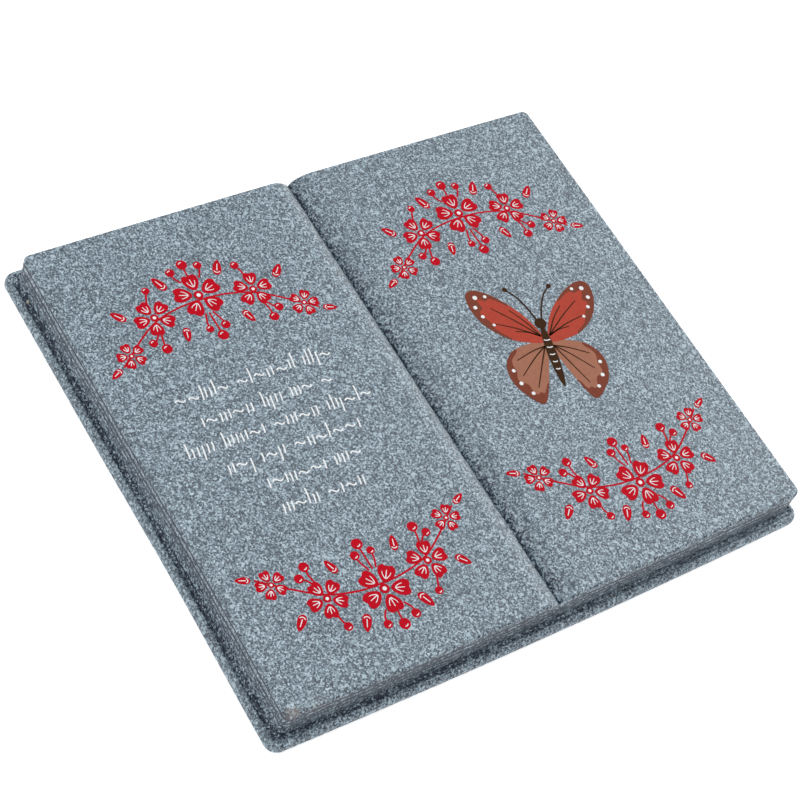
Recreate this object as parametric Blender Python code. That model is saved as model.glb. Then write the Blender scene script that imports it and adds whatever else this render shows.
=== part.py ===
"""Memorial plaque: an open book lying flat, cast in one piece of stone-filled resin.

A thin cover board carries the page block. A raised lip runs round the board's edge, a
shallow channel separates it from the pages, the block's sides are scored with page lines,
and the two pages roll down into a gutter along the spine.

Frame: +X runs across both pages to the right, +Y from the foot of the pages to their head,
+Z up. The origin is in the middle of the underside.
"""

import math

import bmesh
import bpy

MM = 0.001

# Cover board
BOARD_WIDTH = 200.0 * MM
BOARD_DEPTH = 174.9 * MM
BOARD_THICKNESS = 3.4 * MM
BOARD_CORNER_RADIUS = 4.2 * MM
BOARD_FOOT_RADIUS = 0.8 * MM
LIP_OUTER_RADIUS = 0.9 * MM
LIP_INNER_RADIUS = 0.7 * MM
CHANNEL_DEPTH = 0.7 * MM
CHANNEL_FALL = 0.1 * MM

# Page block
PAGE_RISE = 11.6 * MM
PAGE_FOOT_INSET = 3.5 * MM
PAGE_TOP_INSET = 3.7 * MM
PAGE_CORNER_RADIUS = 3.0 * MM
PAGE_EDGE_RADIUS = 1.3 * MM

# Page lines scored round the block
FIRST_LINE_DROP = 0.5 * MM
LINE_PITCH = 1.8 * MM
LINE_WIDTH = 0.56 * MM
LINE_DEPTH = 0.35 * MM

# Gutter between the two pages
GUTTER_DEPTH = 4.6 * MM
SHOULDER_WIDTH = 7.0 * MM
SHOULDER_ROUNDNESS = 1.5

# The foot and head of the book bulge outwards at the spine
FOOT_BOW = 1.2 * MM
HEAD_BOW = 0.3 * MM

# Fineness of the mesh
CORNER_STEPS = 6
EDGE_STEPS = 4
SHOULDER_STEPS = 7
PLAIN_STEPS = 4
SHOULDER_CROWDING = 1.5

STONE_GREY = (0.19, 0.235, 0.275, 1.0)
STONE_ROUGHNESS = 0.62


def gutter_drop(x):
    """How far the page surface lies below the flat of the pages, at x from the spine."""
    reach = abs(x) / SHOULDER_WIDTH
    if reach >= 1.0:
        return 0.0
    rise = (1.0 - (1.0 - reach) ** SHOULDER_ROUNDNESS) ** (1.0 / SHOULDER_ROUNDNESS)
    return GUTTER_DEPTH * (1.0 - rise)


def page_height(x):
    """Height of the page surface above the underside."""
    return BOARD_THICKNESS + PAGE_RISE - gutter_drop(x)


def channel_floor():
    """Height of the channel where it meets the page block, its lowest line."""
    return BOARD_THICKNESS - CHANNEL_DEPTH - CHANNEL_FALL


def end_stations(straight):
    """X places along the head or foot of one ring, crowded towards the gutter."""
    shoulder = [
        SHOULDER_WIDTH * (step / SHOULDER_STEPS) ** SHOULDER_CROWDING
        for step in range(1, SHOULDER_STEPS + 1)
    ]
    plain = [
        SHOULDER_WIDTH + (straight - SHOULDER_WIDTH) * step / PLAIN_STEPS
        for step in range(1, PLAIN_STEPS + 1)
    ]
    right = shoulder + plain
    return [-x for x in reversed(right)] + [0.0] + right


def bowed(x, y):
    """Carries a point of a straight-ended outline onto the bulging one, centred again."""
    bow = FOOT_BOW if y < 0.0 else HEAD_BOW
    swell = 1.0 - (2.0 * x / BOARD_WIDTH) ** 2
    centring = (FOOT_BOW - HEAD_BOW) / 2
    return x, y * (1.0 + 2.0 * bow / BOARD_DEPTH * swell) + centring


def outline(inset, radius):
    """Points of one ring, anticlockwise from the left side, in two halves of equal length.

    The first half runs round the foot of the book and the second, the first turned half
    round, runs back along its head.
    """
    half_width = BOARD_WIDTH / 2 - inset
    half_depth = BOARD_DEPTH / 2 - inset
    straight = half_width - radius
    arc = []
    for step in range(1, CORNER_STEPS + 1):
        angle = 0.5 * math.pi * step / CORNER_STEPS
        arc.append(
            (
                straight + radius * math.sin(angle),
                -half_depth + radius * (1.0 - math.cos(angle)),
            )
        )
    foot = [(-x, y) for x, y in reversed(arc)]
    foot += [(x, -half_depth) for x in end_stations(straight)]
    foot += arc
    head = [(-x, -y) for x, y in foot]
    return [bowed(x, y) for x, y in foot + head]


def board_rings():
    """Rings of the cover board, from the underside up and over the lip into the channel."""
    profile = []
    for step in range(EDGE_STEPS + 1):
        angle = 0.5 * math.pi * step / EDGE_STEPS
        inset = BOARD_FOOT_RADIUS * (1.0 - math.sin(angle))
        profile.append((inset, BOARD_FOOT_RADIUS * (1.0 - math.cos(angle))))
    for step in range(EDGE_STEPS + 1):
        angle = 0.5 * math.pi * step / EDGE_STEPS
        inset = LIP_OUTER_RADIUS * (1.0 - math.cos(angle))
        height = BOARD_THICKNESS - LIP_OUTER_RADIUS * (1.0 - math.sin(angle))
        profile.append((inset, height))
    for step in range(1, EDGE_STEPS + 1):
        angle = 0.5 * math.pi * step / EDGE_STEPS
        inset = LIP_OUTER_RADIUS + LIP_INNER_RADIUS * math.sin(angle)
        height = BOARD_THICKNESS - CHANNEL_DEPTH * (1.0 - math.cos(angle))
        profile.append((inset, height))
    rings = []
    for inset, height in profile:
        radius = BOARD_CORNER_RADIUS - inset
        rings.append([(x, y, height) for x, y in outline(inset, radius)])
    return rings


def wall_profile():
    """Depth below the rounded top edge and cut of each ring up the page block's side."""
    wall = BOARD_THICKNESS + PAGE_RISE - PAGE_EDGE_RADIUS - channel_floor()
    lines = int((wall - FIRST_LINE_DROP - LINE_WIDTH) / LINE_PITCH) + 1
    profile = [(wall, 0.0)]
    for line in reversed(range(lines)):
        middle = FIRST_LINE_DROP + line * LINE_PITCH
        profile.append((middle + LINE_WIDTH / 2, 0.0))
        profile.append((middle, LINE_DEPTH))
        profile.append((middle - LINE_WIDTH / 2, 0.0))
    profile.append((0.0, 0.0))
    return [(drop / wall, cut) for drop, cut in profile]


def wall_rings():
    """Rings of the block's side. They close up where the gutter lowers the page surface."""
    rings = []
    for share, cut in wall_profile():
        flare = (PAGE_TOP_INSET - PAGE_FOOT_INSET) * share**2
        points = outline(PAGE_TOP_INSET - flare + cut, PAGE_CORNER_RADIUS)
        ring = []
        for x, y in points:
            top = page_height(x) - PAGE_EDGE_RADIUS
            ring.append((x, y, top + (channel_floor() - top) * share))
        rings.append(ring)
    return rings


def page_edge_rings():
    """Rings that round the block's side over into the page surface."""
    rings = []
    for step in range(1, EDGE_STEPS + 1):
        angle = 0.5 * math.pi * step / EDGE_STEPS
        inset = PAGE_EDGE_RADIUS * (1.0 - math.cos(angle))
        lowered = PAGE_EDGE_RADIUS * (1.0 - math.sin(angle))
        points = outline(PAGE_TOP_INSET + inset, PAGE_CORNER_RADIUS - inset)
        rings.append([(x, y, page_height(x) - lowered) for x, y in points])
    return rings


def add_ring(bm, points):
    """One closed loop of edges through the points."""
    verts = [bm.verts.new(point) for point in points]
    ends = zip(verts, verts[1:] + verts[:1])
    return verts, [bm.edges.new(pair) for pair in ends]


def book_mesh():
    """Bridges ring to ring from the underside to the page edge, then closes both ends."""
    bm = bmesh.new()
    rings = board_rings() + wall_rings() + page_edge_rings()
    loops = [add_ring(bm, points) for points in rings]
    for (_, lower), (_, upper) in zip(loops, loops[1:]):
        bmesh.ops.bridge_loops(bm, edges=lower + upper)
    bm.faces.new(list(reversed(loops[0][0])))
    half = len(loops[-1][0]) // 2
    page_edge = loops[-1][1]
    foot_chain = page_edge[: half - 1]
    head_chain = page_edge[half : 2 * half - 1]
    bmesh.ops.bridge_loops(bm, edges=foot_chain + head_chain)
    bmesh.ops.recalc_face_normals(bm, faces=bm.faces)
    mesh = bpy.data.meshes.new("open_book")
    bm.to_mesh(mesh)
    bm.free()
    return mesh


def stone_resin():
    material = bpy.data.materials.new("stone_resin")
    material.use_nodes = True
    shader = material.node_tree.nodes["Principled BSDF"]
    shader.inputs["Base Color"].default_value = STONE_GREY
    shader.inputs["Roughness"].default_value = STONE_ROUGHNESS
    shader.inputs["Metallic"].default_value = 0.0
    return material


def build_open_book():
    mesh = book_mesh()
    mesh.materials.append(stone_resin())
    mesh.shade_smooth()
    mesh.set_sharp_from_angle(angle=math.radians(25.0))
    book = bpy.data.objects.new("open_book", mesh)
    bpy.context.scene.collection.objects.link(book)
    return book


def main():
    for old in list(bpy.data.objects):
        bpy.data.objects.remove(old)
    build_open_book()


main()
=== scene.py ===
"""Dresses the open-book memorial plaque: the speckled casting, the print on its pages, the studio."""

import math
import random

import bmesh
import bpy
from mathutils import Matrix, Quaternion, Vector, noise


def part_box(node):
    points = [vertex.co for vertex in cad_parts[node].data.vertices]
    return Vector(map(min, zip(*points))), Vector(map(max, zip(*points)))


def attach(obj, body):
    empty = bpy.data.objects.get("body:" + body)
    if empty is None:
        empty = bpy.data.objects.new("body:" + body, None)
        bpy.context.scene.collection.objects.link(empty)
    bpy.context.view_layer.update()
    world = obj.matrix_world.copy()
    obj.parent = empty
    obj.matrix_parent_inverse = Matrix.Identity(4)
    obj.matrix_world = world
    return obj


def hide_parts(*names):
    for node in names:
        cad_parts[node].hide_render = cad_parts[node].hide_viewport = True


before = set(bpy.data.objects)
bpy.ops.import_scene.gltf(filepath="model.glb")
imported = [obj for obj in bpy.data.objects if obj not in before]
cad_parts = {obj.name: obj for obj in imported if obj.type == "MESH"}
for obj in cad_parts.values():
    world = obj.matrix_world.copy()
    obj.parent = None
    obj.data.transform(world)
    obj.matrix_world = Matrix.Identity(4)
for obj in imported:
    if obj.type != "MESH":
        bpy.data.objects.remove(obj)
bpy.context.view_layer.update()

bl_info = {
    "name": "Open-Book Memorial Plaque",
    "version": (1, 0, 0),
    "blender": (4, 5, 0),
    "location": "3D View > Sidebar > Plaque",
    "description": "A cast stone-resin book with printed pages, lying in a plain studio",
    "category": "Object",
}

MM = 0.001
BOOK_LOW, BOOK_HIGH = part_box("open_book")

# Each line scored round the page block: how far below the rounded edge it runs, how strong it is
PAGE_LINES = (
    (0.65 * MM, 1.0),
    (3.4 * MM, 0.95),
    (5.4 * MM, 0.75),
    (7.5 * MM, 0.45),
)

# Small flaws: place and radius in millimetres, colour, strength
FLAWS = (
    ((-96.7, 75.6, 2.8), 0.75, (0.62, 0.58, 0.40), 0.9),
    ((22.5, -85.6, 2.8), 0.45, (0.48, 0.36, 0.16), 0.8),
    ((-93.4, -82.6, 14.3), 2.8, (0.24, 0.18, 0.14), 0.5),
    ((-85.5, -83.6, 13.8), 5.0, (0.22, 0.18, 0.15), 0.15),
)


def length(name, description, default):
    return bpy.props.FloatProperty(
        name=name, description=description, default=default, min=0.0, unit="LENGTH", precision=5
    )


def share(name, description, default):
    return bpy.props.FloatProperty(
        name=name, description=description, default=default, min=0.0, max=1.0, subtype="FACTOR"
    )


def colour(name, description, default):
    return bpy.props.FloatVectorProperty(
        name=name, description=description, default=default, size=3, min=0.0, max=1.0, subtype="COLOR"
    )


def power(name, description, default):
    return bpy.props.FloatProperty(
        name=name, description=description, default=default, min=0.0, unit="POWER"
    )


def place(name, description, default):
    return bpy.props.FloatVectorProperty(
        name=name, description=description, default=default, size=3, subtype="TRANSLATION", unit="LENGTH"
    )


class PlaqueShape(bpy.types.PropertyGroup):
    """Sizes of the casting. The outline and the height come from the frame."""

    board_thickness: length("Board thickness", "Height of the cover board's lip", 3.4 * MM)
    board_radius: length("Board corners", "Radius of the board's corners in plan", 3.9 * MM)
    board_foot: length("Board foot", "Rounding of the board's lower edge", 0.45 * MM)
    lip_outer: length("Lip, outside", "Width of the rounding of the lip's outer edge", 1.5 * MM)
    lip_round: length("Lip rounding", "Height of the rounding of the lip's outer edge", 2.1 * MM)
    lip_crest: length("Lip crest", "From the board's edge to where the lip starts to fall", 1.7 * MM)
    lip_width: length("Lip", "From the board's edge to the channel", 2.7 * MM)
    channel_depth: length("Channel", "Depth of the channel inside the lip", 0.8 * MM)
    page_inset: length("Page inset", "From the board's edge to the page block's", 3.7 * MM)
    foot_inset: length("Page foot inset", "From the board's edge to the foot of the page block", 3.55 * MM)
    fillet: length("Page foot fillet", "Rounding between the page block and the channel", 0.35 * MM)
    page_radius: length("Page corners", "Radius of the page block's corners in plan", 2.3 * MM)
    page_edge: length("Page edge", "Rounding of the pages' upper edge", 0.8 * MM)
    gutter_depth: length("Gutter depth", "Fall of the pages into the spine", 4.6 * MM)
    left_shoulder: length("Left shoulder", "Width of the left page's roll", 7.0 * MM)
    right_shoulder: length("Right shoulder", "Width of the right page's roll", 8.5 * MM)
    foot_bow: length("Foot bow", "Bulge of the foot of the book at the spine", 1.2 * MM)
    head_bow: length("Head bow", "Bulge of the head of the book at the spine", 0.3 * MM)
    side_dent: length("Side dent", "Hollow in the left side, where the casting shrank", 0.5 * MM)
    line_depth: length("Page lines", "Depth of the lines scored round the block", 0.07 * MM)
    line_width: length("Line width", "Half width of a page line", 0.42 * MM)


class PlaqueStone(bpy.types.PropertyGroup):
    """Finish of the stone-filled resin."""

    dark: colour("Dark grain", "Darkest grains of the stone", (0.056, 0.074, 0.098))
    shade: colour("Shade", "Stone between the ground and the dark grains", (0.105, 0.135, 0.165))
    ground: colour("Ground", "Colour of the stone between grains", (0.174, 0.231, 0.279))
    light: colour("Light grain", "Stone between the ground and the pale grains", (0.305, 0.393, 0.457))
    pale: colour("Pale grain", "Palest grains of the stone", (0.53, 0.645, 0.725))
    flake_tint: colour("Flake", "Colour of the larger pale flakes", (0.42, 0.525, 0.59))
    # Painted highlight: paler stone on the left page's roll into the gutter, where the key light falls
    painted_highlight: colour("Rubbed edge", "Paler stone where the left page's edge is rubbed", (0.42, 0.41, 0.405))
    # Dark colour of the wash in the channel and page lines, also used as painted shade on the sides, the
    # front and in the gutter
    wash_and_shade: colour("Wash", "Dark wash left in the channel and the page lines", (0.019, 0.028, 0.052))
    grain: length("Grain", "Size of the grains", 0.62 * MM)
    fine_grain: length("Fine grain", "Size of the finest grains", 0.30 * MM)
    chip: length("Chips", "Size of the sharp-edged chips", 0.54 * MM)
    cloud: length("Clouds", "Size of the lighter and darker areas", 2.6 * MM)
    flake: length("Flakes", "Spacing of the larger pale flakes", 3.0 * MM)
    roughness: share("Roughness", "Roughness of the cast surface", 0.53)


class PlaquePrint(bpy.types.PropertyGroup):
    """Colours and sizes of the print on the pages."""

    sunk: length("Sunk", "How far a print reaches into the page", 0.03 * MM)
    film: length("Film", "How far the lowest print stands off the page", 0.03 * MM)
    coat: length("Coat", "How much higher each further coat stands", 0.015 * MM)
    stroke: length("Stroke", "Width of a white stroke", 0.5 * MM)
    crimson: colour("Crimson", "Blossoms, buds and berries", (0.50, 0.003, 0.014))
    white: colour("White", "Verse rows and fine lines", (0.84, 0.86, 0.87))
    clay: colour("Clay", "Lower wings", (0.362, 0.156, 0.101))
    brick: colour("Brick", "Upper wings", (0.432, 0.062, 0.039))
    umber: colour("Umber", "Wing edges", (0.198, 0.053, 0.031))
    soot: colour("Soot", "Body, feelers and veins", (0.046, 0.019, 0.006))


class PlaqueStudio(bpy.types.PropertyGroup):
    """Camera, lights and floor."""

    camera_place: place("Camera", "Where the camera stands", (-0.31210, -0.24014, 0.51410))
    camera_aim: place("Aim", "Point in the middle of the picture", (-0.00175, 0.00245, 0.0))
    camera_roll: bpy.props.FloatProperty(
        name="Roll", description="Turn of the camera about its view", default=math.radians(25.48),
        subtype="ANGLE",
    )
    lens: bpy.props.FloatProperty(
        name="Lens", description="Focal length in mm on a 36 mm wide picture", default=91.92
    )
    key_place: place("Key light", "Where the key light stands", (2.65, 0.39, 1.66))
    key_size: length("Key size", "Side of the square key light", 2.2)
    key_power: power("Key power", "Power of the key light", 75.0)
    fill_place: place("Fill light", "Where the fill light stands", (-0.95, 0.22, 1.43))
    fill_size: length("Fill size", "Side of the square fill light", 1.1)
    fill_power: power("Fill power", "Power of the fill light", 12.0)
    sky: bpy.props.FloatProperty(name="Sky", description="Strength of the white surroundings", default=0.4)
    floor_glow: share("Floor glow", "Light given off by the floor itself", 0.5)


def deselect_all():
    if bpy.context.object is not None and bpy.context.object.mode != "OBJECT":
        bpy.ops.object.mode_set(mode="OBJECT")
    bpy.ops.object.select_all(action="DESELECT")


def select_only(*pieces):
    deselect_all()
    for piece in pieces:
        piece.select_set(True)
    bpy.context.view_layer.objects.active = pieces[0]


def name_piece(piece, name):
    piece.name = name
    piece.data.name = name


def join_pieces(name, pieces):
    """Joins the pieces into one object of this name."""
    select_only(*pieces)
    if len(pieces) > 1:
        bpy.ops.object.join()
    joined = bpy.context.object
    name_piece(joined, name)
    return joined


def finish_piece(piece, material):
    """Gives a piece its material and ties it to the plaque."""
    piece.data.materials.clear()
    piece.data.materials.append(material)
    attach(piece, "root")


def set_inputs(tree, node, inputs):
    """Joins sockets to a node's inputs and sets its plain values."""
    for socket, value in inputs.items():
        if isinstance(value, bpy.types.NodeSocket):
            tree.links.new(value, node.inputs[socket])
        else:
            node.inputs[socket].default_value = value


def add_node(tree, kind, inputs=None, **settings):
    """Adds a shader node with its settings and inputs."""
    node = tree.nodes.new(kind)
    for name, value in settings.items():
        setattr(node, name, value)
    set_inputs(tree, node, inputs or {})
    return node


def arithmetic(tree, operation, first, second):
    return add_node(tree, "ShaderNodeMath", {0: first, 1: second}, operation=operation).outputs[0]


def blend_colours(tree, factor, first, second):
    """Mixes two colours, each a socket or a triple."""
    inputs = {0: factor}
    for index, value in ((6, first), (7, second)):
        inputs[index] = value if isinstance(value, bpy.types.NodeSocket) else (*value, 1.0)
    return add_node(tree, "ShaderNodeMix", inputs, data_type="RGBA").outputs[2]


def window(tree, value, low, high):
    """Rises smoothly from 0 to 1 while the value goes from low to high."""
    inputs = {"Value": value, "From Min": low, "From Max": high}
    return add_node(tree, "ShaderNodeMapRange", inputs, interpolation_type="SMOOTHSTEP").outputs[0]


def grain_noise(tree, where, size, detail=0.0, roughness=0.5):
    inputs = {"Vector": where, "Scale": 1.0 / size, "Detail": detail, "Roughness": roughness}
    return add_node(tree, "ShaderNodeTexNoise", inputs).outputs["Fac"]


def ramp(tree, value, stops):
    """Colour ramp through (place, colour or grey) stops, level beyond the first and the last."""
    node = add_node(tree, "ShaderNodeValToRGB", {0: value})
    steps = node.color_ramp.elements
    shades = [(tone,) * 3 if isinstance(tone, float) else tone for _, tone in stops]
    steps[0].color = (*shades[0], 1.0)
    steps[1].color = (*shades[-1], 1.0)
    for (position, _), shade in zip(stops, shades):
        steps.new(position).color = (*shade, 1.0)
    return node.outputs[0]


def new_material(name):
    material = bpy.data.materials.new(name)
    material.use_nodes = True
    return material, material.node_tree, material.node_tree.nodes["Principled BSDF"]


def finish_surface(tree, shader, where, tint, pit_strength, pit_depth, roughness, specular):
    """Gives a shader its colour, fine pitting and gloss."""
    pitting = grain_noise(tree, where, 0.5 * MM, detail=1.0)
    inputs = {"Height": pitting, "Strength": pit_strength, "Distance": pit_depth}
    bump = add_node(tree, "ShaderNodeBump", inputs).outputs[0]
    inputs = {"Base Color": tint, "Normal": bump, "Roughness": roughness, "Specular IOR Level": specular}
    set_inputs(tree, shader, inputs)


def stone_tone(tree, where, stone):
    """Light and dark of the stone, about 0.5 on average, from chips, grains and clouds."""
    cells = add_node(tree, "ShaderNodeTexVoronoi", {"Vector": where, "Scale": 1.0 / stone.chip})
    chips = add_node(tree, "ShaderNodeSeparateColor", {0: cells.outputs["Color"]}).outputs[1]
    parts = (
        (chips, 0.28),
        (grain_noise(tree, where, stone.grain, detail=0.6), 0.43),
        (grain_noise(tree, where, stone.fine_grain), 0.40),
        (grain_noise(tree, where, stone.cloud, detail=1.0), 0.07),
    )
    tone = 0.5 - 0.5 * sum(weight for _, weight in parts)
    for part, weight in parts:
        tone = arithmetic(tree, "ADD", arithmetic(tree, "MULTIPLY", part, weight), tone)
    return tone


def add_flakes(tree, where, tone, stone, tint):
    """Blends in the larger pale flakes, of two sizes, ragged like the grains."""
    ragged = arithmetic(tree, "MULTIPLY", tone, 0.45)
    for size, rarity, strength in ((stone.flake, 0.64, 0.85), (0.5 * stone.flake, 0.70, 0.65)):
        spots = add_node(tree, "ShaderNodeTexVoronoi", {"Vector": where, "Scale": 1.0 / size})
        lot = add_node(tree, "ShaderNodeSeparateColor", {0: spots.outputs["Color"]}).outputs[0]
        near = window(tree, arithmetic(tree, "SUBTRACT", spots.outputs["Distance"], ragged), 0.05, -0.01)
        flakes = arithmetic(tree, "MULTIPLY", near, window(tree, lot, rarity, rarity + 0.05))
        tint = blend_colours(tree, arithmetic(tree, "MULTIPLY", flakes, strength), tint, stone.flake_tint)
    return tint


def wash_and_shade_cover(tree, patchy, tone):
    """How far the dark wash and painted shade hide the stone. They thin out in patches and on pale grains.
    """
    wash_and_shade = add_node(tree, "ShaderNodeAttribute", attribute_name="wash_and_shade").outputs["Fac"]
    reach = arithmetic(tree, "MULTIPLY", patchy, 1.8)
    reach = arithmetic(tree, "SUBTRACT", reach, arithmetic(tree, "MULTIPLY", tone, 5.0))
    reach = arithmetic(tree, "MULTIPLY", wash_and_shade, arithmetic(tree, "ADD", reach, 2.6))
    return arithmetic(tree, "MULTIPLY", window(tree, reach, 0.48, 1.02), 0.9)


def page_line_cover(tree, where):
    """How far the wash in the page lines hides the stone. It is thinner here and there."""
    core, rim, deepest = 0.42 * MM, 0.78 * MM, 12.0 * MM
    stops = []
    for middle, strength in PAGE_LINES:
        for offset, tone in ((-rim, 0.0), (-core, strength), (core, strength), (rim, 0.0)):
            stops.append(((middle + offset) / deepest, tone))
    level = add_node(tree, "ShaderNodeAttribute", attribute_name="level").outputs["Fac"]
    lines = ramp(tree, arithmetic(tree, "DIVIDE", level, deepest), stops)
    broken = window(tree, grain_noise(tree, where, 9.0 * MM, detail=2.0), 0.30, 0.55)
    broken = arithmetic(tree, "ADD", arithmetic(tree, "MULTIPLY", broken, 0.25), 0.75)
    return arithmetic(tree, "MULTIPLY", lines, broken)


def add_painted_shoulder_highlight(tree, where, patchy, stone, tint):
    """Blends in a painted highlight of paler stone along the left page's edge at the gutter, where the key
    light falls on its roll.
    """
    across, _, height = add_node(tree, "ShaderNodeSeparateXYZ", {0: where}).outputs
    painted_highlight = window(tree, patchy, 0.36, 0.62)
    for value, low, high in ((across, -5.0, -2.4), (across, -0.6, -1.5), (height, 11.0, 13.0)):
        painted_highlight = arithmetic(tree, "MULTIPLY", painted_highlight, window(tree, value, low * MM, high * MM))
    return blend_colours(tree, arithmetic(tree, "MULTIPLY", painted_highlight, 0.36), tint, stone.painted_highlight)


def add_flaws(tree, where, tone, tint):
    """Blends the small flaws into the stone's colour, ragged like its grains."""
    for middle, radius, shade, strength in FLAWS:
        inputs = {0: where, 1: [value * MM for value in middle]}
        away = add_node(tree, "ShaderNodeVectorMath", inputs, operation="DISTANCE").outputs["Value"]
        ragged = arithmetic(tree, "ADD", away, arithmetic(tree, "MULTIPLY", tone, 2.0 * radius * MM))
        near = window(tree, ragged, 1.9 * radius * MM, 1.3 * radius * MM)
        tint = blend_colours(tree, arithmetic(tree, "MULTIPLY", near, strength), tint, shade)
    return tint


def stone_material(stone):
    """Grey-blue resin with fine grains, pale flakes, a dark wash and painted shade where the casting is
    cut, and a painted highlight.
    """
    material, tree, shader = new_material("speckled_stone_resin")
    where = add_node(tree, "ShaderNodeTexCoord").outputs["Object"]
    upright = add_node(tree, "ShaderNodeMapping", {"Vector": where, "Scale": (1.0, 1.0, 0.75)}).outputs[0]
    tone = stone_tone(tree, upright, stone)
    kinds = (stone.dark, stone.shade, stone.ground, stone.light, stone.pale)
    tint = ramp(tree, tone, list(zip((0.34, 0.43, 0.51, 0.61, 0.71), kinds)))
    tint = add_flakes(tree, upright, tone, stone, tint)
    patchy = grain_noise(tree, upright, 1.7 * MM, detail=2.0, roughness=0.6)
    cover = arithmetic(tree, "MAXIMUM", wash_and_shade_cover(tree, patchy, tone), page_line_cover(tree, where))
    # Dark wash and painted shade
    tint = blend_colours(tree, cover, tint, stone.wash_and_shade)
    # Painted highlight on the left page's roll
    tint = add_painted_shoulder_highlight(tree, where, patchy, stone, tint)
    tint = add_flaws(tree, where, tone, tint)
    finish_surface(
        tree, shader, where, tint,
        pit_strength=0.16, pit_depth=0.05 * MM, roughness=stone.roughness, specular=0.5,
    )
    return material


def print_material(name, tint):
    """Satin ink that keeps a little of the stone's unevenness."""
    material, tree, shader = new_material(name)
    where = add_node(tree, "ShaderNodeTexCoord").outputs["Object"]
    mottle = window(tree, grain_noise(tree, where, 1.2 * MM, detail=2.0), 0.3, 0.6)
    mixed = blend_colours(tree, mottle, [0.9 * value for value in tint], tint)
    finish_surface(
        tree, shader, where, mixed,
        pit_strength=0.2, pit_depth=0.03 * MM, roughness=0.6, specular=0.05,
    )
    return material


def clamped(value):
    return max(0.0, min(1.0, value))


def smooth_rise(way):
    """Eases a share of the way in and out."""
    way = clamped(way)
    return way * way * (3.0 - 2.0 * way)


def shares(steps):
    """Shares of the way after each of the steps."""
    return [step / steps for step in range(1, steps + 1)]


def round_angles(steps):
    """Angles that go once round in this many steps."""
    return [2.0 * math.pi * step / steps for step in range(steps)]


class Book:
    """The casting's measures, worked out from the frame and the panel's sizes."""

    def __init__(self, shape):
        self.shape = shape
        size = BOOK_HIGH - BOOK_LOW
        self.half_width = size.x / 2
        self.half_depth = (size.y - shape.foot_bow - shape.head_bow) / 2
        self.top = BOOK_HIGH.z
        self.channel_floor = shape.board_thickness - shape.channel_depth
        self.wall_height = self.top - shape.page_edge - self.channel_floor

    def page_drop(self, x):
        """Fall of the pages into the gutter at x."""
        if x < 0.0:
            width, roundness = self.shape.left_shoulder, 1.5
        else:
            width, roundness = self.shape.right_shoulder, 2.1
        reach = abs(x) / width
        if reach >= 1.0:
            return 0.0
        rise = (1.0 - (1.0 - reach) ** roundness) ** (1.0 / roundness)
        return self.shape.gutter_depth * (1.0 - rise)

    def page_height(self, x, y):
        wander = 0.2 * MM * noise.noise(Vector((0.0, y / (16 * MM), 5.0)))
        return self.top - self.page_drop(x + wander)

    def painted_gutter_shade(self, x):
        """Painted shade in the gutter's valley, reaching further over the right page's roll, which faces
        away from the key light.
        """
        valley = math.exp(-((x / (0.6 * MM)) ** 2))
        reach = 1.6 * MM if x < 0.0 else 3.2 * MM
        return max(valley, 0.68 * math.exp(-((x / reach) ** 2)))

    def settled(self, x, y):
        """Moves a point of the true outline to where the real, slightly uneven one runs."""
        bow = self.shape.foot_bow if y < 0.0 else self.shape.head_bow
        swell = 1.0 - (x / self.half_width) ** 2
        centring = (self.shape.foot_bow - self.shape.head_bow) / 2
        dent = 0.0
        if x < 0.0:
            dent = self.shape.side_dent * math.exp(-(((y + 28 * MM) / (38 * MM)) ** 2))
            dent *= (x / self.half_width) ** 2
        return x + dent, y * (1.0 + bow / self.half_depth * swell) + centring

    def ring_point(self, anchor, outward, inset, radius):
        """Point of the outline at this inset, where anchor picks the place along it."""
        x = anchor.x * (self.half_width - inset - radius) + outward.x * radius
        y = anchor.y * (self.half_depth - inset - radius) + outward.y * radius
        return self.settled(x, y)


def uneven(x, y, z, size, seed):
    """Smooth unevenness between about -1 and 1, with bumps of the given size."""
    return noise.noise(Vector((x / size + seed * 17.3, y / size, z / size)))


def page_stations(half, gutter):
    """Places from the middle out to half, close together in the gutter and round the corner."""
    crowding = 1.4
    gutter_steps = 20 if gutter > 0.0 else 0
    corner, corner_steps = 3.0 * MM, 7
    plain_step = 1.25 * MM
    places = [0.0]
    places += [gutter * ((step + 1) / gutter_steps) ** crowding for step in range(gutter_steps)]
    plain = half - corner - places[-1]
    plain_steps = round(plain / plain_step)
    start = places[-1]
    places += [start + plain * (step + 1) / plain_steps for step in range(plain_steps)]
    places += [half - corner + corner * (step + 1) / corner_steps for step in range(corner_steps)]
    return [-place for place in reversed(places[1:])] + places


def rounded_place(x, y, half_width, half_depth, radius):
    """Place of a grid corner once the outline's corners are rounded, its anchor and way outwards."""
    side_x, side_y = math.copysign(1.0, x), math.copysign(1.0, y)
    gap_x, gap_y = half_width - abs(x), half_depth - abs(y)
    inset = min(gap_x, gap_y)
    curve = radius - inset
    past = max(gap_x, gap_y) - inset
    if curve > 0.0 and past < curve:
        angle = 0.25 * math.pi * (1.0 - past / curve)
        if gap_x < gap_y:
            angle = 0.5 * math.pi - angle
        outward = Vector((side_x * math.sin(angle), side_y * math.cos(angle), 0.0))
        x = side_x * (half_width - radius) + outward.x * curve
        y = side_y * (half_depth - radius) + outward.y * curve
        return x, y, Vector((side_x, side_y, 0.0)), outward
    if gap_y <= gap_x:
        return x, y, Vector((x / (half_width - radius), side_y, 0.0)), Vector((0.0, side_y, 0.0))
    return x, y, Vector((side_x, y / (half_depth - radius), 0.0)), Vector((side_x, 0.0, 0.0))


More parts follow.
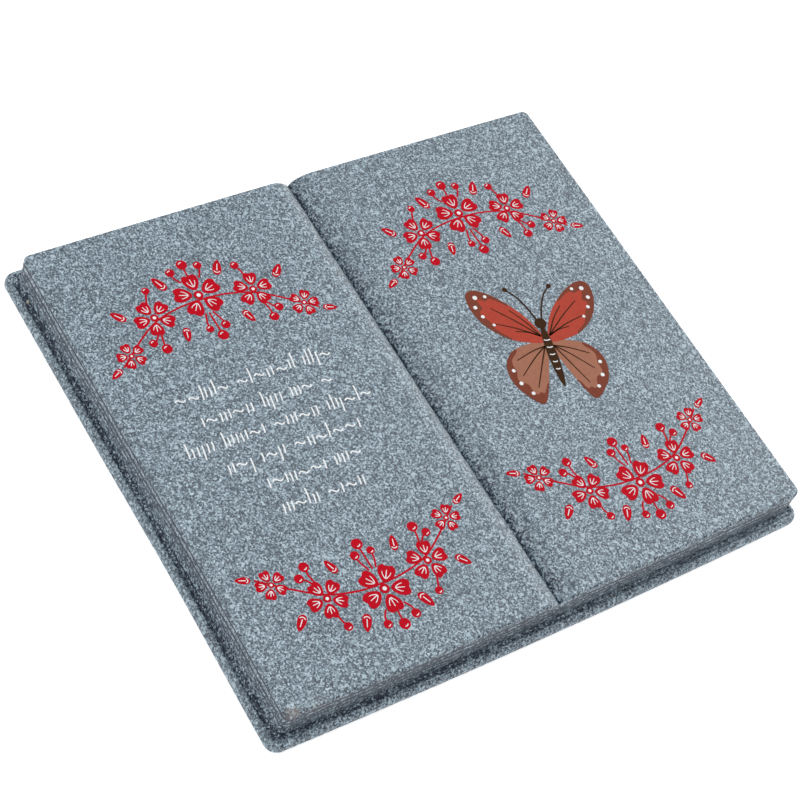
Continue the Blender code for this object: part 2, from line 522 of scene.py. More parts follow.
def start_pages(book):
    """The page surface: a grid, its corners rounded, which carries its outline as attributes."""
    edge_inset = book.shape.page_inset + book.shape.page_edge
    radius = book.shape.page_radius - book.shape.page_edge
    half_width = book.half_width - edge_inset
    half_depth = book.half_depth - edge_inset
    across = page_stations(half_width, gutter=9.0 * MM)
    along = page_stations(half_depth, gutter=0.0)
    bpy.ops.mesh.primitive_grid_add(
        x_subdivisions=len(across) - 1, y_subdivisions=len(along) - 1, size=2.0
    )
    pages = bpy.context.object
    if len(pages.data.vertices) != len(across) * len(along):
        raise RuntimeError("the page grid has another number of corners than its stations")

    bm = bmesh.new()
    bm.from_mesh(pages.data)
    anchor_layer = bm.verts.layers.float_vector.new("anchor")
    outward_layer = bm.verts.layers.float_vector.new("outward")
    wash_and_shade_layer = bm.verts.layers.float.new("wash_and_shade")
    bm.verts.layers.float.new("level")
    for vert in bm.verts:
        column = round((vert.co.x + 1.0) / 2.0 * (len(across) - 1))
        row = round((vert.co.y + 1.0) / 2.0 * (len(along) - 1))
        x, y, anchor, outward = rounded_place(across[column], along[row], half_width, half_depth, radius)
        vert[anchor_layer] = anchor
        vert[outward_layer] = outward
        # Painted shade in the gutter
        vert[wash_and_shade_layer] = book.painted_gutter_shade(x)
        x, y = book.settled(x, y)
        vert.co = (x, y, book.page_height(x, y))
    bm.to_mesh(pages.data)
    bm.free()
    return pages


def draw_out_ring(piece, place_vertex):
    """Extrudes the open edge once and lets place_vertex say where each new corner goes."""
    bpy.ops.mesh.extrude_edges_move(TRANSFORM_OT_translate={"value": (0.0, 0.0, -MM)})
    bm = bmesh.from_edit_mesh(piece.data)
    anchor = bm.verts.layers.float_vector["anchor"]
    outward = bm.verts.layers.float_vector["outward"]
    wash_and_shade = bm.verts.layers.float["wash_and_shade"]
    level = bm.verts.layers.float["level"]
    for vert in bm.verts:
        if vert.select:
            vert.co, vert[wash_and_shade], vert[level] = place_vertex(vert[anchor], vert[outward])


def page_edge_ring(book, angle):
    """Placer of one ring of the rounding between the page surface and the block's side."""
    shape = book.shape
    inset = shape.page_inset + shape.page_edge * (1.0 - math.sin(angle))
    radius = shape.page_radius - (inset - shape.page_inset)
    lowered = shape.page_edge * (1.0 - math.cos(angle))

    def place_vertex(anchor, outward):
        x, y = book.ring_point(anchor, outward, inset, radius)
        # Wash and painted shade grow as the rounding turns down to the side, with more painted shade on
        # the front; painted shade in the gutter
        wash_and_shade = max(book.painted_gutter_shade(x), (0.5 - 0.35 * min(0.0, outward.y)) * math.sin(angle))
        return (x, y, book.page_height(x, y) - lowered), wash_and_shade, -lowered

    return place_vertex


def page_line_cut(book, level):
    """Depth of the scored page lines, from 0 to 1, at a level below the rounded edge."""
    cuts = [
        strength * math.exp(-(((level - middle) / book.shape.line_width) ** 2))
        for middle, strength in PAGE_LINES
    ]
    return max(cuts)


def wall_ring(book, height_share):
    """Placer of one ring up the block's side, which closes up where the gutter lowers it.

    The lines across the front lie lower than those on the other sides, and lower to the right.
    The front's painted shade lies higher up, and more of it to the left.
    """
    shape = book.shape
    drop = 1.0 - height_share
    depth = book.wall_height * drop
    rise = book.wall_height - depth
    fade = min(1.0, depth / MM)
    flare = (shape.page_inset - shape.foot_inset) * drop**2
    flare += shape.fillet * max(0.0, 1.0 - rise / (1.6 * shape.fillet)) ** 2
    foot = 1.0 - rise / (11.0 * MM)
    # Wash and painted shade down the sides, heavier from about 2 to 4 mm below the page edge
    wash_and_shade_share = 0.42 + 0.30 * smooth_rise((depth - 1.8 * MM) / (2.4 * MM))
    seam = 0.35 * max(0.0, 1.0 - rise / (0.9 * MM))

    def place_vertex(anchor, outward):
        x, y = book.ring_point(anchor, outward, shape.page_inset, shape.page_radius)
        front = max(0.0, -outward.y)
        side = x / book.half_width
        drift = 0.25 * MM * uneven(x, y, depth, 24 * MM, 3) + 0.05 * MM * uneven(x, y, depth, 5 * MM, 9)
        level = depth - (2.0 + 0.8 * side) * MM * front + drift * fade
        heavy = clamped(0.8 + 1.2 * uneven(x, y, depth, 8 * MM, 21))
        cut = shape.line_depth * heavy * page_line_cut(book, level)
        sway = 0.12 * MM * uneven(x, y, depth, 9 * MM, 40) * fade
        x, y = book.ring_point(anchor, outward, shape.page_inset - flare + cut + sway, shape.page_radius)
        top = book.page_height(x, y) - shape.page_edge
        z = book.channel_floor + (top - book.channel_floor) * height_share
        # Darker towards the bottom of the side and at its foot, less of it on the front, least on the
        # right
        low = (foot + seam) * (1.0 - front * (0.45 + 0.35 * side))
        # Painted shade on the front, which the lights hardly reach, stronger towards its top and to the
        # left
        wash_and_shade = max(wash_and_shade_share, low) + front * height_share * (0.60 - 0.1 * side)
        wash_and_shade = max(wash_and_shade + 0.12 * uneven(x, y, 0.0, 22 * MM, 33), book.painted_gutter_shade(x))
        return (x, y, z), wash_and_shade, level

    return place_vertex


def board_profile(book):
    """(inset, height, wash and painted shade) of each ring from the foot of the pages over the lip to the
    floor.
    """
    shape = book.shape
    lip = shape.board_thickness
    start = shape.foot_inset - shape.fillet
    run = start - shape.lip_width
    floor, bank = book.channel_floor, 0.08 * MM
    rings = [(start - run * way, floor + bank * way**2, 1.45 - 0.3 * way) for way in shares(2)]
    fall = shape.lip_width - shape.lip_crest
    for way in shares(7):
        height = floor + bank + (lip - floor - bank) * smooth_rise(way)
        rings.append((shape.lip_width - fall * way, height, 1.0 - 0.3 * way))
    crest = shape.lip_crest - shape.lip_outer
    rings += [(shape.lip_crest - crest * way, lip, 0.52 - 0.24 * way) for way in shares(2)]
    for way in shares(6):
        angle = 0.5 * math.pi * way
        inset = shape.lip_outer * (1.0 - math.sin(angle))
        height = lip - shape.lip_round * (1.0 - math.cos(angle))
        rings.append((inset, height, max(0.0, 0.4 - 1.2 * way)))
    side = lip - shape.lip_round - shape.board_foot
    rings += [(0.0, shape.board_foot + side * (1.0 - way), 0.05) for way in shares(2)]
    for way in shares(5):
        angle = 0.5 * math.pi * way
        inset = shape.board_foot * (1.0 - math.cos(angle))
        rings.append((inset, shape.board_foot * (1.0 - math.sin(angle)), 0.2))
    return rings


def board_ring(book, inset, height, wash_and_shade):
    """Placer of one ring of the cover board. The front's wash and painted shade thin out at its left end,
    and its outer rounding is darkened with painted shade.
    """
    shape = book.shape
    blend = min(1.0, inset / shape.foot_inset)
    radius = (shape.board_radius - inset) * (1.0 - blend) + shape.page_radius * blend

    def place_vertex(anchor, outward):
        x, y = book.ring_point(anchor, outward, inset, radius)
        shift = 0.12 * MM * uneven(x, y, 0.0, 9 * MM, 60) * min(1.0, inset / MM)
        x, y = book.ring_point(anchor, outward, inset + shift, radius)
        lift = 0.12 * MM * uneven(x, y, 0.0, 8 * MM, 70) * min(1.0, height / (2.0 * MM))
        # The front's wash and painted shade thin out to the right and at its left end
        front = max(0.0, -outward.y)
        bare = clamped((-x - 74 * MM) / (12 * MM))
        wash_and_shade_share = wash_and_shade * (1.0 - front * (0.2 + 0.45 * x / book.half_width)) * (1.0 - 0.45 * front * bare)
        # Painted shade on the front's outer rounding, which faces away from the lights
        if inset < shape.lip_outer:
            wash_and_shade_share += 0.45 * front
        return (x, y, height - abs(lift)), wash_and_shade_share, book.wall_height

    return place_vertex


class PLAQUE_OT_cast_book(bpy.types.Operator):
    """Casts the open book: pages, scored sides, cover board"""

    bl_idname = "plaque.cast_book"
    bl_label = "Cast the Book"
    bl_options = {"REGISTER", "UNDO"}

    def execute(self, context):
        book = Book(context.scene.plaque_shape)
        deselect_all()
        casting = start_pages(book)
        casting.name = "stone_book"
        bpy.ops.object.mode_set(mode="EDIT")
        bpy.ops.mesh.select_all(action="SELECT")
        bpy.ops.mesh.region_to_loop()
        for way in shares(5):
            draw_out_ring(casting, page_edge_ring(book, 0.5 * math.pi * way))
        for way in shares(50):
            draw_out_ring(casting, wall_ring(book, 1.0 - way))
        for inset, height, wash_and_shade in board_profile(book):
            draw_out_ring(casting, board_ring(book, inset, height, wash_and_shade))
        bpy.ops.mesh.edge_face_add()
        bpy.ops.mesh.select_all(action="SELECT")
        bpy.ops.mesh.normals_make_consistent(inside=False)
        bpy.ops.object.mode_set(mode="OBJECT")
        bpy.ops.object.shade_smooth_by_angle(angle=math.radians(50.0))
        finish_piece(casting, stone_material(context.scene.plaque_stone))
        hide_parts("open_book")
        return {"FINISHED"}


class Ink:
    """Lays flat prints on the page, each coat a little higher than the one before."""

    def __init__(self, settings):
        self.low = BOOK_HIGH.z - settings.sunk
        self.first = BOOK_HIGH.z + settings.film
        self.coat = settings.coat
        self.stroke = settings.stroke

    def raise_print(self, piece, coat):
        """Gives a flat print its thickness, up to the given coat."""
        select_only(piece)
        bpy.ops.object.mode_set(mode="EDIT")
        bpy.ops.mesh.select_all(action="SELECT")
        height = self.first + coat * self.coat - self.low
        bpy.ops.mesh.extrude_region_move(TRANSFORM_OT_translate={"value": (0.0, 0.0, height)})
        bpy.ops.mesh.select_all(action="SELECT")
        bpy.ops.mesh.normals_make_consistent(inside=False)
        bpy.ops.object.mode_set(mode="OBJECT")
        return piece

    def patch(self, outline, coat):
        """A filled area inside a closed outline."""
        deselect_all()
        bpy.ops.mesh.primitive_circle_add(vertices=len(outline), radius=MM, fill_type="NGON")
        piece = bpy.context.object
        for vert, (x, y) in zip(piece.data.vertices, outline):
            vert.co = (x, y, self.low)
        return self.raise_print(piece, coat)

    def line(self, path, width, coat, taper=0.0):
        """A stroke of ink along a path, thinner at its far end by the taper."""
        deselect_all()
        bpy.ops.mesh.primitive_grid_add(x_subdivisions=len(path) - 1, y_subdivisions=1, size=MM)
        piece = bpy.context.object
        last = len(path) - 1
        for index, vert in enumerate(piece.data.vertices):
            step, side = index % len(path), 2 * (index // len(path)) - 1
            before, after = path[max(step - 1, 0)], path[min(step + 1, last)]
            run_x, run_y = after[0] - before[0], after[1] - before[1]
            half = 0.5 * width * (1.0 - taper * step / last) * side / math.hypot(run_x, run_y)
            vert.co = (path[step][0] - half * run_y, path[step][1] + half * run_x, self.low)
        return self.raise_print(piece, coat)

    def dot(self, x, y, radius, coat, sides=20):
        """A round spot of ink."""
        rim = []
        for angle in round_angles(sides):
            rim.append((x + radius * math.cos(angle), y + radius * math.sin(angle)))
        return self.patch(rim, coat)


def smooth_path(corners, steps, closed=False):
    """Points of a smooth curve through the corners."""
    count = len(corners)
    points = []
    for index in range(count if closed else count - 1):
        if closed:
            four = [corners[(index + offset) % count] for offset in (-1, 0, 1, 2)]
        else:
            four = [corners[min(max(index + offset, 0), count - 1)] for offset in (-1, 0, 1, 2)]
        for step in range(steps):
            t = step / steps
            weights = (
                0.5 * (-t + 2 * t * t - t**3),
                0.5 * (2 - 5 * t * t + 3 * t**3),
                0.5 * (t + 4 * t * t - 3 * t**3),
                0.5 * (-t * t + t**3),
            )
            points.append(tuple(sum(w * p[axis] for w, p in zip(weights, four)) for axis in (0, 1)))
    if not closed:
        points.append(tuple(corners[-1]))
    return points


def in_mm(points):
    return [(x * MM, y * MM) for x, y in points]


def petal_outline(reach):
    """A broad petal with a shallow notch, from near the middle of the blossom out to its reach."""
    points = []
    for angle in round_angles(36):
        notch = 0.10 * math.exp(-((math.remainder(angle, 2.0 * math.pi) / 0.34) ** 2))
        out = reach * (0.62 + 0.38 * math.cos(angle) - notch)
        side = reach * 0.31 * math.sin(angle) * (1.0 + 0.32 * math.cos(angle))
        points.append((side, out))
    return points


def drop_outline(size, width):
    """A bud, round at its foot and pointed at its tip."""
    points = []
    for angle in round_angles(28):
        way = 0.5 * (1.0 - math.cos(angle))
        points.append((0.6 * width * math.sin(angle) * (1.0 - 0.45 * way), size * way))
    return points


def copy_turned(stamp, angle, x=0.0, y=0.0, size=1.0):
    """A copy of a stamp, turned and put in its place on the page."""
    select_only(stamp)
    bpy.ops.object.duplicate()
    copy = bpy.context.object
    copy.rotation_euler = (0.0, 0.0, angle)
    copy.scale = (size, size, 1.0)
    copy.location = (x, y, 0.0)
    bpy.ops.object.transform_apply(location=True, rotation=True, scale=True)
    return copy


def remove_pieces(pieces):
    for piece in pieces:
        mesh = piece.data
        bpy.data.objects.remove(piece)
        bpy.data.meshes.remove(mesh)


# Widths of the white lines in the petals and round their rims, and of the crimson stems
VEIN_WIDTH = 0.32 * MM
HAIR_WIDTH = 0.28 * MM
STEM_WIDTH = 0.6 * MM


def blossom_stamp(ink, reach):
    """One blossom: five crimson petals round a middle, and its fine white lines."""
    petals = [ink.patch(petal_outline(reach), coat=1)]
    vein = [(0.0, reach * (0.38 + 0.36 * step / 6)) for step in range(7)]
    lines = [ink.line(vein, VEIN_WIDTH, coat=4, taper=0.3)]
    for side in (-1.0, 1.0):
        bow = []
        for step in range(8):
            across = side * reach * (0.03 + 0.13 * math.sin(0.5 * math.pi * step / 7))
            bow.append((across, reach * (0.40 + 0.26 * step / 7)))
        lines.append(ink.line(bow, HAIR_WIDTH, coat=3, taper=0.3))
    for group in (petals, lines):
        first = join_pieces("petal", group)
        group[:] = [first]
        group += [copy_turned(first, math.radians(72.0 * step)) for step in range(1, 5)]
    petals.append(ink.dot(0.0, 0.0, 0.19 * reach, coat=1))
    lines.append(ink.dot(0.0, 0.0, 0.08 * reach, coat=3, sides=14))
    return join_pieces("blossom", petals), join_pieces("blossom_lines", lines)


def bud_stamp(ink, size):
    """One bud: a crimson drop with a white line and a cup at its foot."""
    bud = ink.patch(drop_outline(size, 0.52 * size), coat=1)
    rib = [(0.0, size * (0.30 + 0.45 * step / 4)) for step in range(5)]
    cup = []
    for step in range(9):
        way = step / 4 - 1.0
        cup.append((0.20 * size * math.sin(0.9 * way), size * (0.16 + 0.10 * way * way)))
    lines = [ink.line(rib, VEIN_WIDTH, coat=4, taper=0.3), ink.line(cup, HAIR_WIDTH, coat=3)]
    return join_pieces("bud", [bud]), join_pieces("bud_lines", lines)


def berry_glint(x, y, radius):
    """The short white bow inside a berry's rim, in millimetres."""
    path = []
    for step in range(7):
        angle = 1.2 + 0.25 * step
        path.append((x + 0.5 * radius * math.cos(angle), y + 0.5 * radius * math.sin(angle)))
    return path


# A garland in millimetres about its own middle, hung as an arch. Blossoms are x, y, turn in
# degrees and reach, buds x, y, turn and size, berries x, y and radius.
GARLAND_BLOSSOMS = (
    (0.0, 6.0, 0.0, 8.4),
    (-17.0, 3.0, 20.0, 6.9),
    (17.5, 2.2, -14.0, 6.7),
    (-30.0, -7.2, 8.0, 4.9),
    (30.5, -8.0, -30.0, 5.1),
)
GARLAND_BUDS = (
    (-8.6, 11.2, 24.0, 6.0),
    (9.2, 11.0, -28.0, 5.8),
    (-25.6, 5.0, 40.0, 5.4),
    (26.4, 4.0, -44.0, 5.6),
    (-35.0, -10.5, 118.0, 4.6),
    (35.4, -11.6, -112.0, 4.6),
    (-9.6, -3.6, 164.0, 5.2),
    (10.4, -4.0, -160.0, 5.2),
)
GARLAND_BERRIES = (
    (-4.6, 16.6, 1.5),
    (0.3, 18.2, 1.8),
    (5.0, 16.4, 1.4),
    (-15.0, 13.0, 1.3),
    (16.2, 12.4, 1.4),
    (-21.6, -5.4, 1.4),
    (-18.6, -8.6, 1.7),
    (22.0, -6.6, 1.5),
    (18.8, -9.4, 1.6),
    (-2.6, -6.6, 1.3),
    (2.8, -6.8, 1.5),
    (0.2, -10.0, 1.8),
)
GARLAND_STEMS = (
    (
        (-34.0, -10.2), (-25.0, -3.2), (-17.0, 1.6), (-8.0, 3.8), (0.0, 4.2),
        (8.0, 3.6), (17.0, 1.0), (25.0, -4.0), (34.4, -11.2),
    ),
    ((-3.0, 12.0), (-4.4, 14.2), (-4.6, 16.0)),
    ((0.0, 12.0), (0.2, 15.0), (0.3, 17.0)),
    ((3.2, 12.0), (4.6, 14.0), (5.0, 15.8)),
    ((-17.0, 8.0), (-16.0, 10.6), (-15.0, 12.4)),
    ((17.4, 7.6), (17.0, 10.2), (16.2, 11.8)),
    ((-18.4, -2.6), (-19.8, -4.4), (-21.0, -5.0)),
    ((-17.6, -2.6), (-18.4, -5.6), (-18.6, -7.4)),
    ((19.0, -3.4), (20.4, -5.4), (21.6, -6.2)),
    ((18.2, -3.4), (18.8, -6.2), (18.8, -8.2)),
    ((-1.2, -1.0), (-2.2, -3.8), (-2.6, -5.8)),
    ((1.2, -1.0), (2.4, -4.0), (2.8, -5.8)),
    ((0.0, -1.0), (0.1, -5.4), (0.2, -8.6)),
)

# Where the garlands lie on the pages: name, x and y in millimetres, turn in degrees
GARLANDS = (
    ("head_left", -51.5, 46.5, 0.0),
    ("foot_left", -49.5, -53.5, 180.0),
    ("head_right", 47.5, 46.5, 0.0),
    ("foot_right", 46.5, -53.5, 180.0),
)


class PLAQUE_OT_print_garlands(bpy.types.Operator):
    """Prints the four crimson garlands with their fine white lines"""

    bl_idname = "plaque.print_garlands"
    bl_label = "Print the Garlands"
    bl_options = {"REGISTER", "UNDO"}

    def execute(self, context):
        settings = context.scene.plaque_print
        ink = Ink(settings)
        crimson = print_material("crimson_ink", settings.crimson)
        white = print_material("white_line_ink", settings.white)
        petals, veins = [], []
        for make_stamp, places in ((blossom_stamp, GARLAND_BLOSSOMS), (bud_stamp, GARLAND_BUDS)):
            for x, y, turn, size in places:
                stamps = make_stamp(ink, size * MM)
                for stamp, group in zip(stamps, (petals, veins)):
                    group.append(copy_turned(stamp, math.radians(turn), x * MM, y * MM))
                remove_pieces(stamps)
        for x, y, radius in GARLAND_BERRIES:
            petals.append(ink.dot(x * MM, y * MM, radius * MM, coat=1))
            veins.append(ink.line(in_mm(berry_glint(x, y, radius)), HAIR_WIDTH, coat=3))
        for stem in GARLAND_STEMS:
            petals.append(ink.line(smooth_path(in_mm(stem), 6), STEM_WIDTH, coat=0))
        stamps = (join_pieces("garland", petals), join_pieces("garland_lines", veins))
        kinds = (("", "crimson_print", crimson), ("_lines", "white_print", white))
        for name, x, y, turn in GARLANDS:
            for stamp, (ending, slot, material) in zip(stamps, kinds):
                garland = copy_turned(stamp, math.radians(turn), x * MM, y * MM)
                name_piece(garland, f"garland_{name}{ending}")
                finish_piece(garland, material)
        remove_pieces(stamps)
        return {"FINISHED"}


# The verse rows: middle height, left end and right end in millimetres
VERSE_ROWS = (
    (19.3, -77.2, -23.4),
    (10.2, -72.8, -28.4),
    (1.8, -82.2, -19.5),
    (-7.0, -73.3, -26.6),
    (-15.8, -64.4, -35.5),
    (-24.9, -64.4, -35.5),
)
# Lowest and highest point of each upright stroke, in millimetres
STROKE_SPANS = {"short": (-1.6, 1.6), "tall": (-1.6, 3.7), "deep": (-3.5, 1.5)}
# How often each kind of stroke comes
STROKE_SHARES = {"short": 8, "tall": 2, "deep": 1, "wave": 3}
# Room along the row for a wave and for a dash, and between groups of strokes, in millimetres
WAVE_ROOM, DASH_ROOM, GROUP_GAP = 3.8, 0.9, 2.4


def verse_stroke(kind, x, y, lean):
    """Path of one stroke of a row: a leaning dash or a wave."""
    if kind == "wave":
        points = [(0.34 * step - 1.7, 0.55 * math.sin(2.0 * math.pi * step / 10)) for step in range(11)]
        return [(x + across * MM, y + up * MM) for across, up in points]
    low, high = STROKE_SPANS[kind]
    path = []
    for step in range(7):
        height = low + (high - low) * step / 6
        across = lean * height + 0.12 * math.sin(math.pi * step / 6)
        path.append((x + across * MM, y + height * MM))
    return path


class PLAQUE_OT_print_verse(bpy.types.Operator):
    """Prints the white rows of strokes on the left page"""

    bl_idname = "plaque.print_verse"
    bl_label = "Print the Verse Rows"
    bl_options = {"REGISTER", "UNDO"}

    def execute(self, context):
        settings = context.scene.plaque_print
        ink = Ink(settings)
        chance = random.Random(11)
        strokes = []
        for y, left, right in VERSE_ROWS:
            x = left
            left_in_group = chance.randint(4, 8)
            while x < right:
                kind = chance.choices(list(STROKE_SHARES), list(STROKE_SHARES.values()))[0]
                room = WAVE_ROOM if kind == "wave" else DASH_ROOM
                middle = (x + room / 2) * MM
                height = (y + chance.uniform(-0.35, 0.35)) * MM
                path = verse_stroke(kind, middle, height, chance.uniform(0.13, 0.21))
                strokes.append(ink.line(path, settings.stroke, coat=0))
                x += room + chance.uniform(0.4, 0.8)
                left_in_group -= 1
                if left_in_group == 0:
                    x += GROUP_GAP
                    left_in_group = chance.randint(4, 9)
        verse = join_pieces("verse_rows", strokes)
        finish_piece(verse, print_material("verse_ink", settings.white))
        return {"FINISHED"}


# The right half of the butterfly in millimetres about its own middle
UPPER_WING = (
    (1.2, 4.2), (4.6, 11.0), (10.5, 17.6), (16.6, 21.4), (20.4, 20.6),
    (20.8, 15.4), (18.2, 9.0), (12.6, 3.6), (6.0, 1.2), (1.3, 0.9),
)
LOWER_WING = (
    (1.3, 1.6), (6.4, 0.8), (12.4, -1.2), (16.0, -6.2), (15.6, -12.6),
    (12.2, -17.8), (8.6, -20.4), (6.2, -17.2), (3.4, -10.0), (1.4, -3.6),
)
WING_VEINS = (
    ((1.4, 3.0), (4.7, 8.7), (8.6, 13.4)),
    ((1.4, 3.0), (7.8, 9.3), (14.2, 14.6)),
    ((1.4, 3.0), (8.0, 6.5), (14.6, 9.0)),
    ((1.4, 3.0), (5.0, 4.8), (9.0, 5.6)),
    ((1.4, -0.6), (6.0, -1.9), (12.0, -4.6)),
    ((1.4, -0.6), (5.9, -4.2), (11.8, -10.0)),
    ((1.4, -0.6), (4.2, -6.1), (8.4, -14.6)),
)
WING_DOTS = (
    (17.9, 18.9, 0.75),
    (18.9, 15.4, 0.65),
    (17.6, 11.9, 0.6),
    (15.0, 8.6, 0.5),
    (14.6, 19.0, 0.55),
    (14.3, -8.0, 0.6),
    (13.4, -12.6, 0.65),
    (10.8, -16.4, 0.6),
)
FEELER = ((0.7, 8.4), (2.2, 13.0), (4.6, 17.8), (7.4, 20.8))
# A wing's dark margin: where it starts and ends along the outline and how deep it is, as shares
UPPER_MARGIN = (0.16, 0.74, 0.36)
LOWER_MARGIN = (0.18, 0.76, 0.34)
# Widths of the lines on the butterfly
WING_VEIN_WIDTH = 0.5 * MM
FEELER_WIDTH = 0.55 * MM
BELT_WIDTH = 0.34 * MM
# Where the butterfly lies: x and y in millimetres, turn in degrees, scale
BUTTERFLY_PLACE = (47.5, -4.0, -14.0, 1.08)


def mirrored(points, side):
    """The points on one side of the body."""
    return [(side * x, y) for x, y in points]


def wing_margin(outline, first, last, depth):
    """A band along part of a wing's edge, as deep as this share of the way to the wing's middle."""
    count = len(outline)
    middle = [sum(point[axis] for point in outline) / count for axis in (0, 1)]
    rim = outline[round(first * count) : round(last * count)]
    inner = []
    for step, point in enumerate(rim):
        reach = depth * math.sin(math.pi * (step + 0.5) / len(rim)) ** 0.5
        reach *= 1.0 + 0.22 * math.cos(2.0 * math.pi * 4.0 * step / len(rim))
        inner.append(tuple(p + (m - p) * reach for p, m in zip(point, middle)))
    return rim + list(reversed(inner))


def butterfly_body():
    """A slim body that narrows towards its tail."""
    points = []
    for angle in round_angles(40):
        slim = 1.0 - 0.3 * max(0.0, -math.sin(angle)) ** 2
        points.append((1.55 * math.cos(angle) * slim, 11.0 * math.sin(angle) - 4.2))
    return points


def body_belt(step):
    """Path of one of the white belts across the body, shorter towards the tail."""
    y, half = 1.6 - 2.6 * step, 1.05 - 0.09 * step
    return [(half * (part / 2 - 1.0), y - 0.25 * math.sin(math.pi * part / 4)) for part in range(5)]


class PLAQUE_OT_print_butterfly(bpy.types.Operator):
    """Prints the butterfly on the right page"""

    bl_idname = "plaque.print_butterfly"
    bl_label = "Print the Butterfly"
    bl_options = {"REGISTER", "UNDO"}

    def execute(self, context):
        settings = context.scene.plaque_print
        ink = Ink(settings)
        high_wing = smooth_path(in_mm(UPPER_WING), 8, closed=True)
        low_wing = smooth_path(in_mm(LOWER_WING), 8, closed=True)
        lower, upper, edges, dark, pale = [], [], [], [], []
        for side in (-1.0, 1.0):
            lower.append(ink.patch(mirrored(low_wing, side), coat=0))
            upper.append(ink.patch(mirrored(high_wing, side), coat=1))
            for wing, margin in ((high_wing, UPPER_MARGIN), (low_wing, LOWER_MARGIN)):
                edges.append(ink.patch(mirrored(wing_margin(wing, *margin), side), coat=2))
            for vein in WING_VEINS:
                path = smooth_path(in_mm(mirrored(vein, side)), 6)
                dark.append(ink.line(path, WING_VEIN_WIDTH, coat=3, taper=0.4))
            for x, y, radius in WING_DOTS:
                pale.append(ink.dot(side * x * MM, y * MM, radius * MM, coat=4, sides=14))
            path = smooth_path(in_mm(mirrored(FEELER, side)), 8)
            dark.append(ink.line(path, FEELER_WIDTH, coat=5, taper=0.2))
            tip_x, tip_y = FEELER[-1]
            dark.append(ink.dot(side * tip_x * MM, tip_y * MM, 0.8 * MM, coat=6, sides=16))
        dark.append(ink.patch(in_mm(butterfly_body()), coat=5))
        dark.append(ink.dot(0.0, 7.6 * MM, 1.9 * MM, coat=6, sides=28))
        pale += [ink.line(in_mm(body_belt(step)), BELT_WIDTH, coat=7) for step in range(5)]
        x, y, turn, size = BUTTERFLY_PLACE
        for name, slot, tint, pieces in (
            ("butterfly_lower_wings", "clay_print", settings.clay, lower),
            ("butterfly_upper_wings", "brick_print", settings.brick, upper),
            ("butterfly_wing_edges", "umber_print", settings.umber, edges),
            ("butterfly_body", "umber_print", settings.soot, dark),
            ("butterfly_dots", "white_print", settings.white, pale),
        ):
            stamp = join_pieces(name + "_stamp", pieces)
            layer = copy_turned(stamp, math.radians(turn), x * MM, y * MM, size)
            remove_pieces((stamp,))
            name_piece(layer, name)
            finish_piece(layer, print_material(name + "_ink", tint))
        return {"FINISHED"}


def area_light(name, where, size, energy):
    bpy.ops.object.light_add(type="AREA", location=where)
    light = bpy.context.object
    light.name = name
    light.data.shape = "SQUARE"
    light.data.size = size
    light.data.energy = energy
    light.rotation_euler = (-Vector(where)).to_track_quat("-Z", "Y").to_euler()


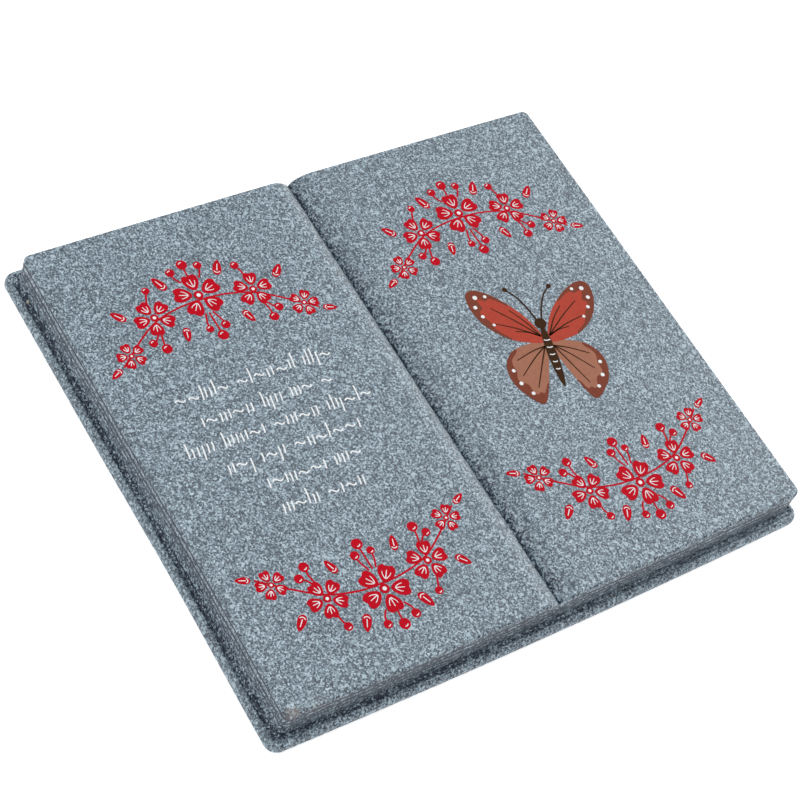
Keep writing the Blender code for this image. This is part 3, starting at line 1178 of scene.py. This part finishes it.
class PLAQUE_OT_set_studio(bpy.types.Operator):
    """Lays the floor and sets the lights and the camera"""

    bl_idname = "plaque.set_studio"
    bl_label = "Set the Studio"
    bl_options = {"REGISTER", "UNDO"}

    def execute(self, context):
        studio = context.scene.plaque_studio
        deselect_all()
        bpy.ops.mesh.primitive_plane_add(size=6.0)
        floor = context.object
        floor.name = "studio_floor"
        material, tree, shader = new_material("studio_floor")
        inputs = {
            "Base Color": (0.85, 0.85, 0.85, 1.0),
            "Roughness": 0.9,
            "Specular IOR Level": 0.0,
            "Emission Color": (1.0, 1.0, 1.0, 1.0),
            "Emission Strength": studio.floor_glow,
        }
        set_inputs(tree, shader, inputs)
        floor.data.materials.append(material)

        world = bpy.data.worlds.new("studio_sky")
        world.use_nodes = True
        sky = world.node_tree.nodes["Background"]
        sky.inputs["Color"].default_value = (1.0, 1.0, 1.0, 1.0)
        sky.inputs["Strength"].default_value = studio.sky
        context.scene.world = world
        area_light("key_light", studio.key_place, studio.key_size, studio.key_power)
        area_light("fill_light", studio.fill_place, studio.fill_size, studio.fill_power)

        bpy.ops.object.camera_add(location=studio.camera_place)
        camera = context.object
        camera.name = "studio_camera"
        view = Vector(studio.camera_aim) - Vector(studio.camera_place)
        level = view.to_track_quat("-Z", "Y")
        camera.rotation_euler = (level @ Quaternion((0.0, 0.0, 1.0), studio.camera_roll)).to_euler()
        camera.data.lens = studio.lens
        camera.data.sensor_width = 36.0
        camera.data.clip_start = 0.01
        context.scene.camera = camera
        context.scene.view_settings.view_transform = "Standard"
        context.scene.view_settings.look = "None"
        return {"FINISHED"}


class PLAQUE_PT_panel(bpy.types.Panel):
    """Lists the plaque's pieces and sizes"""

    bl_idname = "PLAQUE_PT_panel"
    bl_label = "Memorial Plaque"
    bl_space_type = "VIEW_3D"
    bl_region_type = "UI"
    bl_category = "Plaque"

    def draw(self, context):
        for operator in OPERATORS:
            self.layout.operator(operator.bl_idname)
        for name in GROUPS:
            settings = getattr(context.scene, name)
            box = self.layout.box()
            for field in settings.bl_rna.properties:
                if field.identifier not in {"name", "rna_type"}:
                    box.prop(settings, field.identifier)


GROUPS = {
    "plaque_shape": PlaqueShape,
    "plaque_stone": PlaqueStone,
    "plaque_print": PlaquePrint,
    "plaque_studio": PlaqueStudio,
}
OPERATORS = (
    PLAQUE_OT_cast_book,
    PLAQUE_OT_print_garlands,
    PLAQUE_OT_print_verse,
    PLAQUE_OT_print_butterfly,
    PLAQUE_OT_set_studio,
)


def register():
    for group in GROUPS.values():
        bpy.utils.register_class(group)
    for operator in OPERATORS:
        bpy.utils.register_class(operator)
    bpy.utils.register_class(PLAQUE_PT_panel)
    for name, group in GROUPS.items():
        setattr(bpy.types.Scene, name, bpy.props.PointerProperty(type=group))


def unregister():
    for name in GROUPS:
        delattr(bpy.types.Scene, name)
    bpy.utils.unregister_class(PLAQUE_PT_panel)
    for operator in reversed(OPERATORS):
        bpy.utils.unregister_class(operator)
    for group in reversed(list(GROUPS.values())):
        bpy.utils.unregister_class(group)


def main():
    register()
    bpy.ops.plaque.cast_book()
    bpy.ops.plaque.print_garlands()
    bpy.ops.plaque.print_verse()
    bpy.ops.plaque.print_butterfly()
    bpy.ops.plaque.set_studio()


if __name__ == "__main__":
    main()
